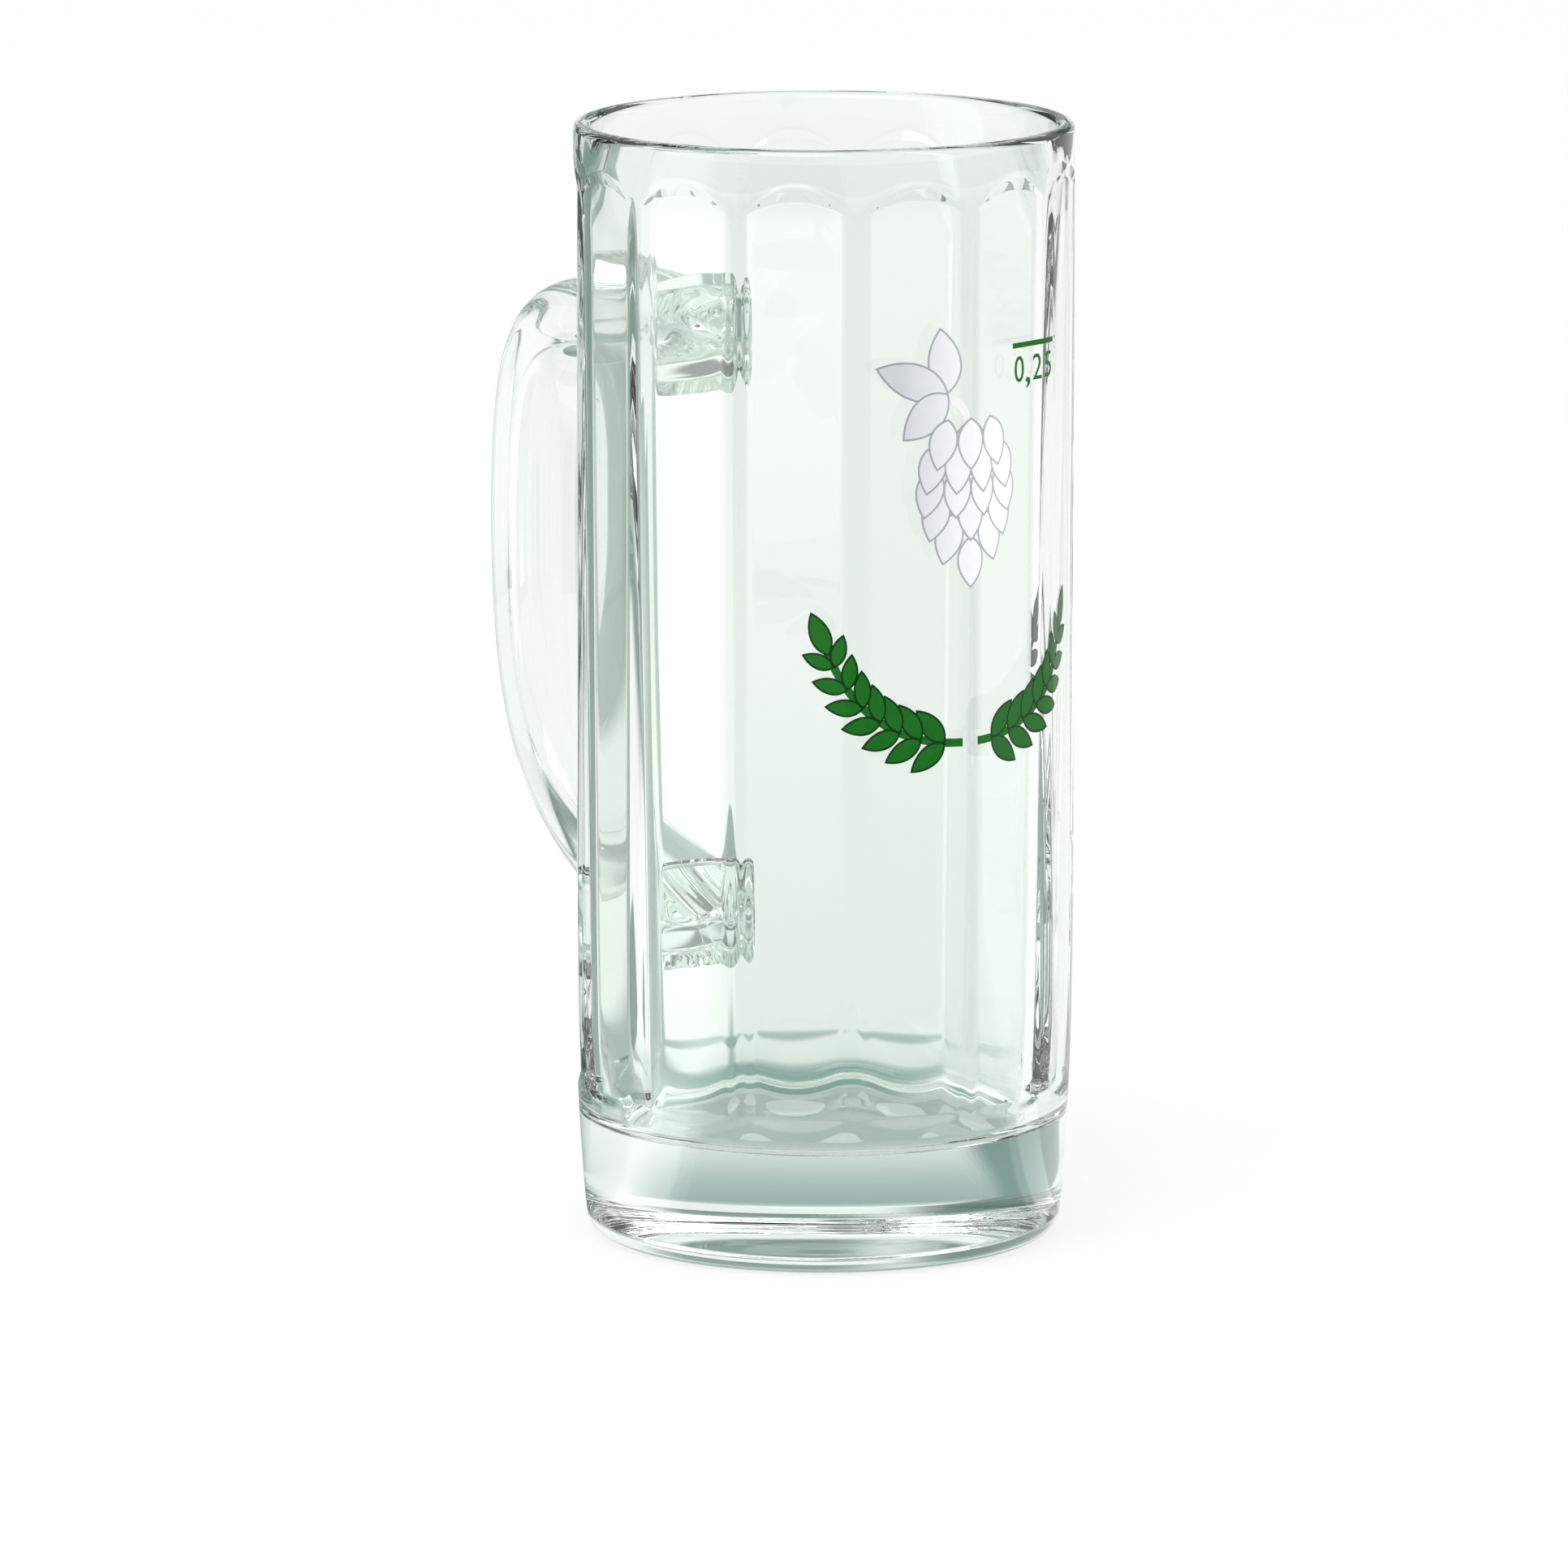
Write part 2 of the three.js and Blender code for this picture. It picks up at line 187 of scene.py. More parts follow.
def clear_glass():
    material, graph = new_material("clear_glass")
    place = graph.add("ShaderNodeTexCoord", None, None, "Object")
    height = graph.add("ShaderNodeSeparateXYZ", None, {0: place}, "Z")
    cloud = graph.add("ShaderNodeTexNoise", None, {"Vector": place, "Scale": 60.0, "Detail": 1.0})
    thin = (height * (2 / mug_height) + cloud * 0.2).smaller(1)
    tint = graph.add("ShaderNodeMix", {"data_type": "RGBA"}, {0: thin, 6: BASE_TINT, 7: LIP_TINT}, 2)
    ripple = graph.add("ShaderNodeBump", None, {"Distance": RIPPLE_DEPTH, "Height": cloud})
    shader = graph.add("ShaderNodeBsdfPrincipled", None, {
        "Base Color": tint,
        "Normal": ripple,
        "Roughness": 0.0,
        "IOR": GLASS_INDEX,
        "Transmission Weight": 1.0,
    })
    graph.add("ShaderNodeOutputMaterial", None, {"Surface": shader})
    return material


glass = clear_glass()

# %% [markdown]
# ## The bowl
# A pressed mug is turned about its axis, apart from the panels. So a wire profile, from the foot's middle
# round the lip to the floor's middle, is rounded at its corners and spun. The panels are then pressed in by
# moving the side's vertices inwards, the way the mould's wall does it.

# %% Bowl profile
RIM_RADIUS = 33.0 * MM
BODY_RADIUS = 33.2 * MM
BASE_TUCK = 1.9 * MM
TUCK_HEIGHT = 50 * MM
TUCK_POWER = 2.5
HEEL_RADIUS = 3.0 * MM
LIP_THICKNESS = 2.2 * MM
LIP_TAPER = 14 * MM
TAPER_ROUNDING = 10 * MM
WALL_TOP = 3.5 * MM
WALL_BOTTOM = 5.4 * MM
FLOOR_THICKNESS = 15.5 * MM
CAVITY_CORNER = 2.2 * MM
PANEL_COUNT = 13
LAND_WIDTH = 2.7 * MM
PANEL_DEPTH = 0.5 * MM
BAND_HEIGHT = 4.9 * MM
ARCH_RISE = 3.5 * MM
STEP_SLOPE = 0.28
PANEL_FOOT = 19.7 * MM
PANEL_FOOT_RISE = 1.3 * MM
EDGE_SOFTNESS = 0.03 * MM
CAVITY_SWELL = 0.55 * MM
SWELL_FADE = 12 * MM
ARCH_TOP = mug_height - BAND_HEIGHT


def side_radius(z):
    """Outside radius over the lands at a height."""
    taper = (BODY_RADIUS - RIM_RADIUS) * max(0, (z - TUCK_HEIGHT) / (mug_height - TUCK_HEIGHT))
    return BODY_RADIUS - taper - BASE_TUCK * max(0, 1 - z / TUCK_HEIGHT) ** TUCK_POWER


def across_panel(angle):
    """Where an angle lies on its panel: 0 is the panel's middle, 1 and -1 are its edges."""
    pitch = 2 * math.pi / PANEL_COUNT
    half_panel = pitch / 2 - LAND_WIDTH / 2 / BODY_RADIUS
    return ((angle - math.pi + pitch / 2) % pitch - pitch / 2) / half_panel


def panel_inset(angle, z):
    """How deep the side is pressed in: flat up to a short step along the arch, with rounded edges."""
    bend = across_panel(angle) ** 2
    run = min(1, (z - PANEL_FOOT) / PANEL_FOOT_RISE)
    step = (ARCH_TOP - z - ARCH_RISE * bend) * STEP_SLOPE
    depth = min(PANEL_DEPTH * (run - bend), step)
    return (depth + math.hypot(depth, EDGE_SOFTNESS)) / 2


def cavity_swell(angle, z):
    """How far the cavity's wall stands back behind a land, so that a panel is as flat inside as outside."""
    low, high = FLOOR_THICKNESS + CAVITY_CORNER, mug_height - LIP_THICKNESS
    run = max(0, min(1, (z - low) / SWELL_FADE, (high - z) / SWELL_FADE))
    edge = min(1, across_panel(angle) ** 2)
    return CAVITY_SWELL * edge * run * run * (3 - 2 * run)


def wall_radius(angle, z):
    return side_radius(z) - panel_inset(angle, z)


def bowl_wire(mesh):
    """The profile as a wire in the XZ plane, with its corners rounded."""
    taper_height = mug_height - LIP_TAPER
    corner_height = FLOOR_THICKNESS + CAVITY_CORNER
    side_heights = (PANEL_FOOT - 1 * MM, PANEL_FOOT + PANEL_FOOT_RISE + 1 * MM, TUCK_HEIGHT)
    side_heights += (ARCH_TOP - ARCH_RISE - 2 * MM, ARCH_TOP, ARCH_TOP + 1 * MM)
    points = [(0, 0), (side_radius(0), 0)]
    points += [(side_radius(z), z) for z in side_heights]
    points += [(RIM_RADIUS, mug_height), (RIM_RADIUS - LIP_THICKNESS, mug_height)]
    points += [(side_radius(taper_height) - WALL_TOP, taper_height)]
    points += [(side_radius(corner_height) - WALL_BOTTOM, FLOOR_THICKNESS), (0, FLOOR_THICKNESS)]
    verts = [mesh.verts.new((x, 0, z)) for x, z in points]
    for pair in zip(verts, verts[1:]):
        mesh.edges.new(pair)
    heel, lip, taper, corner = verts[1:2], verts[-5:-3], verts[-3:-2], verts[-2:-1]
    roundings = ((heel, HEEL_RADIUS, 8), (lip, LIP_THICKNESS / 2.001, 8))
    roundings += ((taper, TAPER_ROUNDING, 6), (corner, CAVITY_CORNER, 10))
    for corners, offset, segments in roundings:
        bmesh.ops.bevel(
            mesh, geom=corners, offset=offset, segments=segments, profile=0.5,
            affect="VERTICES", material=-1,
        )
    return side_heights


def cut_profile(mesh, low, high, cuts, depths=(-0.2 * MM, 2 * MM)):
    """Cuts the edges of the profile that lie between two heights and two depths under the side."""
    def is_there(edge):
        heights = sorted(vert.co.z for vert in edge.verts)
        near = all(depths[0] < side_radius(vert.co.z) - vert.co.x < depths[1] for vert in edge.verts)
        return near and heights[0] > low - 0.1 * MM and heights[1] < high + 0.1 * MM
    edges = [edge for edge in mesh.edges if is_there(edge)]
    bmesh.ops.subdivide_edges(mesh, edges=edges, cuts=cuts)


def to_object(mesh, name, *materials):
    """Makes a mesh object of a bmesh, smooth shaded."""
    data = bpy.data.meshes.new(name)
    for face in mesh.faces:
        face.smooth = True
    mesh.to_mesh(data)
    mesh.free()
    for material in materials:
        data.materials.append(material)
    piece = bpy.data.objects.new(name, data)
    bpy.context.collection.objects.link(piece)
    return piece


# %% [markdown]
# ### One panel, thirteen times
# The wire is spun through one panel only, and the copies are turned into place. A boolean could cut the
# flat panels, but it leaves long thin faces that show in glass. So the rows of vertices under the rim are
# pulled down to follow the arches, and then each vertex is pressed in by the depth at its place.

# %% Spin the bowl and press the panels
COLUMNS_PER_PANEL = 30
SIDE_CUTS = (8, 11, 10, 16, 30, 5)
CAVITY_CUTS = 34
TAPER_CUTS = 5


def make_bowl():
    mesh = bmesh.new()
    foot, shoulder, tuck, spring, crown, arch = bowl_wire(mesh)
    heights = (HEEL_RADIUS, foot, shoulder, tuck, spring, crown, arch)
    for low, high, cuts in zip(heights, heights[1:], SIDE_CUTS):
        cut_profile(mesh, low, high, cuts)
    taper = mug_height - LIP_TAPER - TAPER_ROUNDING
    inside = (LIP_THICKNESS, WALL_BOTTOM + 1 * MM)
    cut_profile(mesh, FLOOR_THICKNESS + CAVITY_CORNER, taper, CAVITY_CUTS, inside)
    cut_profile(mesh, taper, mug_height - LIP_THICKNESS, TAPER_CUTS, inside)
    for vert in mesh.verts:
        if vert.co.x > side_radius(vert.co.z) - 0.5 * MM and HEEL_RADIUS < vert.co.z < arch:
            vert.co.x = side_radius(vert.co.z)
    pitch = 2 * math.pi / PANEL_COUNT
    bmesh.ops.spin(
        mesh, geom=mesh.verts[:] + mesh.edges[:], cent=(0, 0, 0), axis=(0, 0, 1),
        angle=pitch, steps=COLUMNS_PER_PANEL,
    )
    one_panel = mesh.verts[:] + mesh.edges[:] + mesh.faces[:]
    for number in range(1, PANEL_COUNT):
        made = bmesh.ops.duplicate(mesh, geom=one_panel)["geom"]
        verts = [item for item in made if isinstance(item, bmesh.types.BMVert)]
        turn = Matrix.Rotation(number * pitch, 3, "Z")
        bmesh.ops.rotate(mesh, cent=(0, 0, 0), matrix=turn, verts=verts)
    bmesh.ops.remove_doubles(mesh, verts=mesh.verts, dist=0.001 * MM)
    bmesh.ops.recalc_face_normals(mesh, faces=mesh.faces)
    for vert in mesh.verts:
        radius, z = vert.co.xy.length, vert.co.z
        angle = math.atan2(vert.co.y, vert.co.x)
        if radius > side_radius(z) - 0.2 * MM and HEEL_RADIUS < z <= arch:
            share = max(0, min((z - spring) / (crown - spring), (arch - z) / (arch - crown)))
            z -= share * ARCH_RISE * min(1, across_panel(angle) ** 2)
            vert.co.z = z
            vert.co.xy *= wall_radius(angle, z) / radius
        elif radius > CAVITY_CORNER and FLOOR_THICKNESS + CAVITY_CORNER < z:
            vert.co.xy *= 1 + cavity_swell(angle, z) / radius
    return to_object(mesh, "glass_bowl", glass)


glass_bowl = make_bowl()
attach(glass_bowl, "root")
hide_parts("bowl")
print("glass_bowl faces:", len(glass_bowl.data.polygons))

# %% [markdown]
# ## The handle
# The handle is a strap of glass that was stuck to the soft wall at its two roots. One ring of points with
# a squared-off round section is extruded step by step along two curves that meet at the outermost point. A
# curve object with a bevel could sweep it too, but it can't flare at the roots. The ends reach a hair into
# the wall: with a gap of air between them they would mirror, and fused glass doesn't.

# %% Handle
HANDLE_REACH = 37.3 * MM
HANDLE_WIDTH = 15.2 * MM
HANDLE_THICKNESS = 9.6 * MM
SECTION_POWER = 3.2
UPPER_ROOT = mug_height - 33.1 * MM
LOWER_ROOT = 37.6 * MM
GRIP_HEIGHT = UPPER_ROOT - 27.6 * MM
UPPER_ARM_REACH = 27 * MM
UPPER_ARM_RISE = 6.4 * MM
LOWER_ARM_REACH = 25.5 * MM
LOWER_ARM_RISE = 10.4 * MM
GRIP_PULL_UP = 27.4 * MM
GRIP_PULL_DOWN = 30.8 * MM
ROOT_FLARE = 3.0 * MM
ROOT_SPREAD = 0.4 * MM
FLARE_LENGTH = 5 * MM
BOND_DEPTH = 0.05 * MM
SECTION_SIDES = 96
STEPS_PER_CURVE = 44
ROOT_RINGS = (0.93, 0.92, 0.92, 0.91, 0.9, 0.88, 0.86, 0.84, 0.8, 0.75, 0.66, 0.5, 0.1)


def handle_curves():
    """Two cubic curves in the XZ plane, from the upper root to the grip and on to the lower root."""
    wall = -BODY_RADIUS + PANEL_DEPTH
    grip = -BODY_RADIUS - HANDLE_REACH + HANDLE_THICKNESS / 2
    upper = [(wall, UPPER_ROOT), (wall - UPPER_ARM_REACH, UPPER_ROOT + UPPER_ARM_RISE)]
    upper += [(grip, GRIP_HEIGHT + GRIP_PULL_UP), (grip, GRIP_HEIGHT)]
    lower = [(grip, GRIP_HEIGHT), (grip, GRIP_HEIGHT - GRIP_PULL_DOWN)]
    lower += [(wall - LOWER_ARM_REACH, LOWER_ROOT + LOWER_ARM_RISE), (wall, LOWER_ROOT)]
    return [[Vector((x, 0, z)) for x, z in curve] for curve in (upper, lower)]


def point_on(curve, share):
    """The point and the direction of a cubic curve."""
    rest = 1 - share
    a, b, c, d = curve
    point = a * rest**3 + b * (3 * rest**2 * share) + c * (3 * rest * share**2) + d * share**3
    along = (b - a) * rest**2 + (c - b) * (2 * rest * share) + (d - c) * share**2
    return point, along.normalized()


def handle_frames():
    """One matrix for each ring: it turns, sizes and places the round section."""
    frames = []
    for number, curve in enumerate(handle_curves()):
        for step in range(number, STEPS_PER_CURVE + 1):
            point, along = point_on(curve, step / STEPS_PER_CURVE)
            sideways = Vector((0, 1, 0))
            across = sideways.cross(along)
            from_wall = -point.x - BODY_RADIUS + PANEL_DEPTH
            grow = max(0, 1 - from_wall / FLARE_LENGTH) ** 2
            half_thick = HANDLE_THICKNESS / 2 + ROOT_FLARE * grow
            half_wide = HANDLE_WIDTH / 2 + ROOT_SPREAD * grow
            turn = Matrix((across, sideways, along)).transposed().to_4x4()
            size = Matrix.Diagonal((half_thick, half_wide, 1, 1))
            frames.append(Matrix.Translation(point) @ turn @ size)
    return frames


def seat_on_wall(verts):
    """Slides vertices along X onto the bowl's wall, a hair into it."""
    for vert in verts:
        angle = math.atan2(vert.co.y, vert.co.x)
        for _ in range(3):
            radius = wall_radius(angle, vert.co.z) - BOND_DEPTH
            vert.co.x = -math.sqrt(radius**2 - vert.co.y**2)
            angle = math.atan2(vert.co.y, vert.co.x)


def close_root(mesh, ring):
    """Closes an end with rings that shrink to a point, all of them on the wall."""
    middle = sum((vert.co for vert in ring), Vector()) / len(ring)
    edges = [edge for edge in mesh.edges if all(vert in ring for vert in edge.verts)]
    for keep in ROOT_RINGS:
        made = bmesh.ops.extrude_edge_only(mesh, edges=edges)["geom"]
        ring = {item for item in made if isinstance(item, bmesh.types.BMVert)}
        edges = [item for item in made if isinstance(item, bmesh.types.BMEdge)
                 and all(vert in ring for vert in item.verts)]
        space = Matrix.Translation(-middle)
        bmesh.ops.scale(mesh, vec=(keep, keep, keep), space=space, verts=list(ring))
        seat_on_wall(ring)
    bmesh.ops.contextual_create(mesh, geom=edges)


def make_handle():
    mesh = bmesh.new()
    made = bmesh.ops.create_circle(mesh, segments=SECTION_SIDES, radius=1)
    for vert in made["verts"]:
        for axis in (0, 1):
            vert.co[axis] = math.copysign(abs(vert.co[axis]) ** (2 / SECTION_POWER), vert.co[axis])
    frames = handle_frames()
    ring, edges = list(made["verts"]), mesh.edges[:]
    bmesh.ops.transform(mesh, matrix=frames[0], verts=ring)
    first = set(ring)
    for before, after in zip(frames, frames[1:]):
        made = bmesh.ops.extrude_edge_only(mesh, edges=edges)["geom"]
        ring = [item for item in made if isinstance(item, bmesh.types.BMVert)]
        edges = [item for item in made if isinstance(item, bmesh.types.BMEdge)
                 and all(vert in ring for vert in item.verts)]
        bmesh.ops.transform(mesh, matrix=after @ before.inverted(), verts=ring)
    for end in (first, set(ring)):
        seat_on_wall(end)
        close_root(mesh, end)
    bmesh.ops.recalc_face_normals(mesh, faces=mesh.faces)
    return to_object(mesh, "glass_handle", glass)


glass_handle = make_handle()
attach(glass_handle, "root")
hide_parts("handle")
print("glass_handle faces:", len(glass_handle.data.polygons))

# %% [markdown]
# ## The enamel
# The prints are enamel that was fired onto the glass. Enamel is opaque, with a soft shine, and never quite
# one colour: the layer is thinner in places. A picture could carry the prints, but it blurs close up, so
# they are shapes, and their material only adds the mottle. The white runs from silver at the left to white.

# %% Enamel materials
def enamel(name, dark, light, across=None):
    """Enamel between two colours: mottled, and, with two places along Y, running from one to the other."""
    material, graph = new_material(name)
    place = graph.add("ShaderNodeTexCoord", None, None, "Object")
    grain = {"Vector": place, "Scale": 900.0, "Detail": 3.0}
    mottle = graph.add("ShaderNodeTexNoise", None, grain)
    share = mottle
    if across:
        y = graph.add("ShaderNodeSeparateXYZ", None, {0: place}, "Y")
        run = ((y - across[0]) / (across[1] - across[0])).larger(0).smaller(1)
        share = run * 0.9 + mottle * 0.1
    colour = graph.add(
        "ShaderNodeMix", {"data_type": "RGBA"}, {0: share, 6: (*dark, 1), 7: (*light, 1)}, 2,
    )
    shader = graph.add("ShaderNodeBsdfPrincipled", None, {
        "Base Color": colour,
        "Roughness": mottle * 0.2 + 0.25,
        "Specular IOR Level": 0.15,
    })
    graph.add("ShaderNodeOutputMaterial", None, {"Surface": shader})
    return material


green_enamel = enamel("green_enamel", (0.003, 0.115, 0.005), (0.005, 0.150, 0.009))
dark_line = enamel("dark_green_line", (0.002, 0.026, 0.002), (0.003, 0.036, 0.004))
white_enamel = enamel("white_enamel", (0.50, 0.53, 0.56), (0.97, 0.97, 0.97), (-0.010, 0.003))
silver_line = enamel("silver_line", (0.26, 0.29, 0.32), (0.52, 0.55, 0.57), (-0.010, 0.010))
print("enamels:", green_enamel.name, dark_line.name, white_enamel.name, silver_line.name)

# %% [markdown]
# ## Drawing flat, then wrapping
# A print is easiest to draw flat: x runs along the wall, y is the height and z is a hair of lift that keeps
# overlapping leaves apart. The drawing is then cut into narrow strips, so that it can bend, and each vertex
# is carried onto the wall. A Shrinkwrap modifier would do that too, but it pulls lifted leaves together.

# %% Drawing helpers
PRINT_LIFT = 0.05 * MM
LAYER_LIFT = 0.005 * MM
PRINT_SKIN = 0.03 * MM
STRIP = 0.8 * MM
LINE_WIDTH = 0.26 * MM
STEM_WIDTH = 1.1 * MM
STEM_STEPS = 24
LEAF_POINTS = 28


def draw_leaf(mesh, base, direction, length, width, layer):
    """A pointed oval with a line round it: a disc, its points moved onto two curves from base to tip."""
    made = bmesh.ops.create_circle(mesh, cap_ends=True, segments=LEAF_POINTS, radius=1)["verts"]
    for vert in made:
        turn = math.atan2(vert.co.y, vert.co.x)
        share = 1 - abs(turn) / math.pi
        along = 0.6 * share * (1 - share) ** 2 + 1.95 * share**2 * (1 - share) + share**3
        out = math.copysign(1.8 * share * (1 - share), turn)
        vert.co = (along * length, out * width, 0)
    turn = Matrix.Rotation(direction, 4, "Z")
    lift = PRINT_LIFT + layer * LAYER_LIFT
    bmesh.ops.transform(mesh, matrix=Matrix.Translation((*base, lift)) @ turn, verts=made)
    face = next(face for face in made[0].link_faces)
    line = bmesh.ops.inset_region(
        mesh, faces=[face], thickness=LINE_WIDTH, use_boundary=True, use_even_offset=True,
    )
    for part in line["faces"]:
        part.material_index = 1


def curve_point(curve, share):
    """The point and the heading of a quadratic curve in the drawing."""
    a, b, c = curve
    rest = 1 - share
    along = (b - a) * rest + (c - b) * share
    return a * rest**2 + b * (2 * rest * share) + c * share**2, math.atan2(along.y, along.x)


def draw_stem(mesh, curve, width):
    """A strip bent along a quadratic curve."""
    made = bmesh.ops.create_grid(mesh, x_segments=STEM_STEPS, y_segments=1, size=1)["verts"]
    for vert in made:
        point, heading = curve_point(curve, (vert.co.x + 1) / 2)
        out = vert.co.y * width / 2
        vert.co = (point.x - math.sin(heading) * out, point.y + math.cos(heading) * out, PRINT_LIFT)


def wrap_on_wall(mesh):
    """Cuts a drawing into strips, bends it onto the wall and gives it a skin's thickness."""
    places = [vert.co.x for vert in mesh.verts]
    cut = math.ceil(min(places) / STRIP) * STRIP
    while cut < max(places):
        everything = mesh.verts[:] + mesh.edges[:] + mesh.faces[:]
        bmesh.ops.bisect_plane(mesh, geom=everything, plane_co=(cut, 0, 0), plane_no=(1, 0, 0))
        cut += STRIP
    for vert in mesh.verts:
        angle, height = vert.co.x / BODY_RADIUS, vert.co.y
        radius = wall_radius(angle, height) + vert.co.z
        vert.co = (radius * math.cos(angle), radius * math.sin(angle), height)
    bmesh.ops.recalc_face_normals(mesh, faces=mesh.faces)
    for face in mesh.faces:
        if face.normal.xy.dot(face.calc_center_median().xy) < 0:
            face.normal_flip()
    bmesh.ops.solidify(mesh, geom=mesh.faces, thickness=PRINT_SKIN)
    bmesh.ops.recalc_face_normals(mesh, faces=mesh.faces)


def add_print(mesh, name, node, slot, *materials):
    wrap_on_wall(mesh)
    piece = to_object(mesh, name, *materials)
    for face in piece.data.polygons:
        face.use_smooth = False
    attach(piece, "root")
    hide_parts(node)
    print(name, "faces:", len(piece.data.polygons))


# %% [markdown]
# ## The hop cone
# A hop cone is rows of bracts that overlap like roof tiles. Each bract is the same pointed oval, and each
# row lies a hair above the row below it, so that the silver lines round the bracts draw the cone. One
# outline with lines drawn in it would be lighter, but the rows would have to be cut to fit each other.

# %% Hop cone
FILL_HEIGHT = mug_height - 27 * MM
CONE_TOP = FILL_HEIGHT - (0.7 + 3.4 + 2 * 2.2) * MM
CONE_HEIGHT = 22.5 * MM
CONE_WIDTH = 15 * MM
CONE_ROWS = 6
BRACT_LENGTH = 7 * MM
BRACT_WIDTH = 4.6 * MM
BRACT_TILT = math.radians(14)
HOP_LEAF_LENGTHS = (8.8 * MM, 11 * MM, 8.8 * MM)
HOP_LEAF_WIDTH = 5.4 * MM
HOP_LEAF_TURN = math.radians(160)
HOP_LEAF_SPREAD = math.radians(62)
HOP_LEAF_OFFSET = 3.3 * MM


def make_hop_print():
    mesh = bmesh.new()
    leaf_base = Vector((-HOP_LEAF_OFFSET, CONE_TOP + HOP_LEAF_OFFSET))
    stem_end = Vector((leaf_base.x - HOP_LEAF_LENGTHS[1] / 4, leaf_base.y))
    stem = (Vector((0, CONE_TOP - BRACT_LENGTH / 2)), Vector((0, leaf_base.y)), stem_end)
    draw_stem(mesh, stem, STEM_WIDTH)
    for number, length in enumerate(HOP_LEAF_LENGTHS):
        direction = HOP_LEAF_TURN + (number - 1) * HOP_LEAF_SPREAD
        draw_leaf(mesh, leaf_base, direction, length, HOP_LEAF_WIDTH, 1 + number)
    core = (0, CONE_TOP)
    core_height = CONE_HEIGHT - BRACT_LENGTH / 2
    draw_leaf(mesh, core, -math.pi / 2, core_height, CONE_WIDTH - BRACT_WIDTH, 1)
    row_step = (CONE_HEIGHT - BRACT_LENGTH) / (CONE_ROWS - 1)
    for row in reversed(range(CONE_ROWS)):
        share = row / (CONE_ROWS - 1)
        half_row = (CONE_WIDTH - BRACT_WIDTH) / 2 * math.sin(math.pi * (0.22 + 0.78 * share))
        bracts = 1 + round(2 * half_row / (BRACT_WIDTH * 0.8))
        for bract in range(bracts):
            side = 2 * bract / (bracts - 1) - 1 if bracts > 1 else 0
            base = (side * half_row, CONE_TOP - row * row_step)
            layer = 2 + 2 * (CONE_ROWS - row) + bract % 2
            direction = -math.pi / 2 + BRACT_TILT * side
            draw_leaf(mesh, base, direction, BRACT_LENGTH, BRACT_WIDTH, layer)
    add_print(mesh, "hop_enamel", "hop_print", "white_enamel", white_enamel, silver_line)


make_hop_print()

# %% [markdown]
# ## The two sprays
# Each spray is a bent stem with pairs of leaves that get smaller towards its tip, and one leaf on the end.
# The two could be one mesh and its mirror image, but a mirrored mesh is inside out, so the same function
# draws both, with the x of its stem turned round for the left one.

# %% Sprays
SPRAY_TOP = CONE_TOP - CONE_HEIGHT - 2.2 * MM
SPRAY_REACH = 25 * MM
SPRAY_RISE = 13 * MM
SPRAY_GAP = 2.4 * MM
SPRAY_PAIRS = 7
SPRAY_LEAF_LENGTH = 6.2 * MM
SPRAY_LEAF_WIDTH = 3.2 * MM
SPRAY_LEAF_TILT = math.radians(42)


def make_spray(side, name, node):
    mesh = bmesh.new()
    tip_height = SPRAY_TOP - SPRAY_LEAF_LENGTH * 0.8
    foot_height = tip_height - SPRAY_RISE
    stem = (
        Vector((side * SPRAY_GAP / 2, foot_height)),
        Vector((side * SPRAY_REACH * 0.6, foot_height)),
        Vector((side * (SPRAY_REACH - SPRAY_LEAF_LENGTH * 0.8), tip_height)),
    )
    draw_stem(mesh, stem, STEM_WIDTH)
    for pair in range(SPRAY_PAIRS):
        base, heading = curve_point(stem, (pair + 0.7) / (SPRAY_PAIRS + 0.4))
        size = 1 - 0.3 * pair / SPRAY_PAIRS
        for number, tilt in enumerate((-SPRAY_LEAF_TILT, SPRAY_LEAF_TILT)):
            layer = 1 + 2 * pair + number
            length, width = SPRAY_LEAF_LENGTH * size, SPRAY_LEAF_WIDTH * size
            draw_leaf(mesh, base, heading + tilt, length, width, layer)
    base, heading = curve_point(stem, 0.97)
    draw_leaf(mesh, base, heading, SPRAY_LEAF_LENGTH, SPRAY_LEAF_WIDTH, 2 * SPRAY_PAIRS + 1)
    add_print(mesh, name, node, "green_enamel", green_enamel, dark_line)


make_spray(-1, "left_spray_enamel", "left_spray_print")
make_spray(1, "right_spray_enamel", "right_spray_print")

# %% [markdown]
# ## The fill mark
# A line shows how far the mug is filled, and a plain number under it says how much that is. A digit could
# be drawn by hand, but Blender's own font is quicker: a text object is turned into a mesh and sized to the
# digit of the CAD model that it stands for.

# %% Fill mark
FILL_MARK_ARC = 12.5 * MM
FILL_LINE_LENGTH = 9 * MM
FILL_LINE_WIDTH = 0.7 * MM


def make_fill_line():
    mesh = bmesh.new()
    bmesh.ops.create_grid(mesh, x_segments=1, y_segments=1, size=0.5)
    bmesh.ops.scale(mesh, vec=(FILL_LINE_LENGTH, FILL_LINE_WIDTH, 1), verts=mesh.verts)
    bmesh.ops.translate(mesh, vec=(FILL_MARK_ARC, FILL_HEIGHT, PRINT_LIFT), verts=mesh.verts)
    add_print(mesh, "fill_line_enamel", "fill_line_print", "green_enamel", green_enamel)


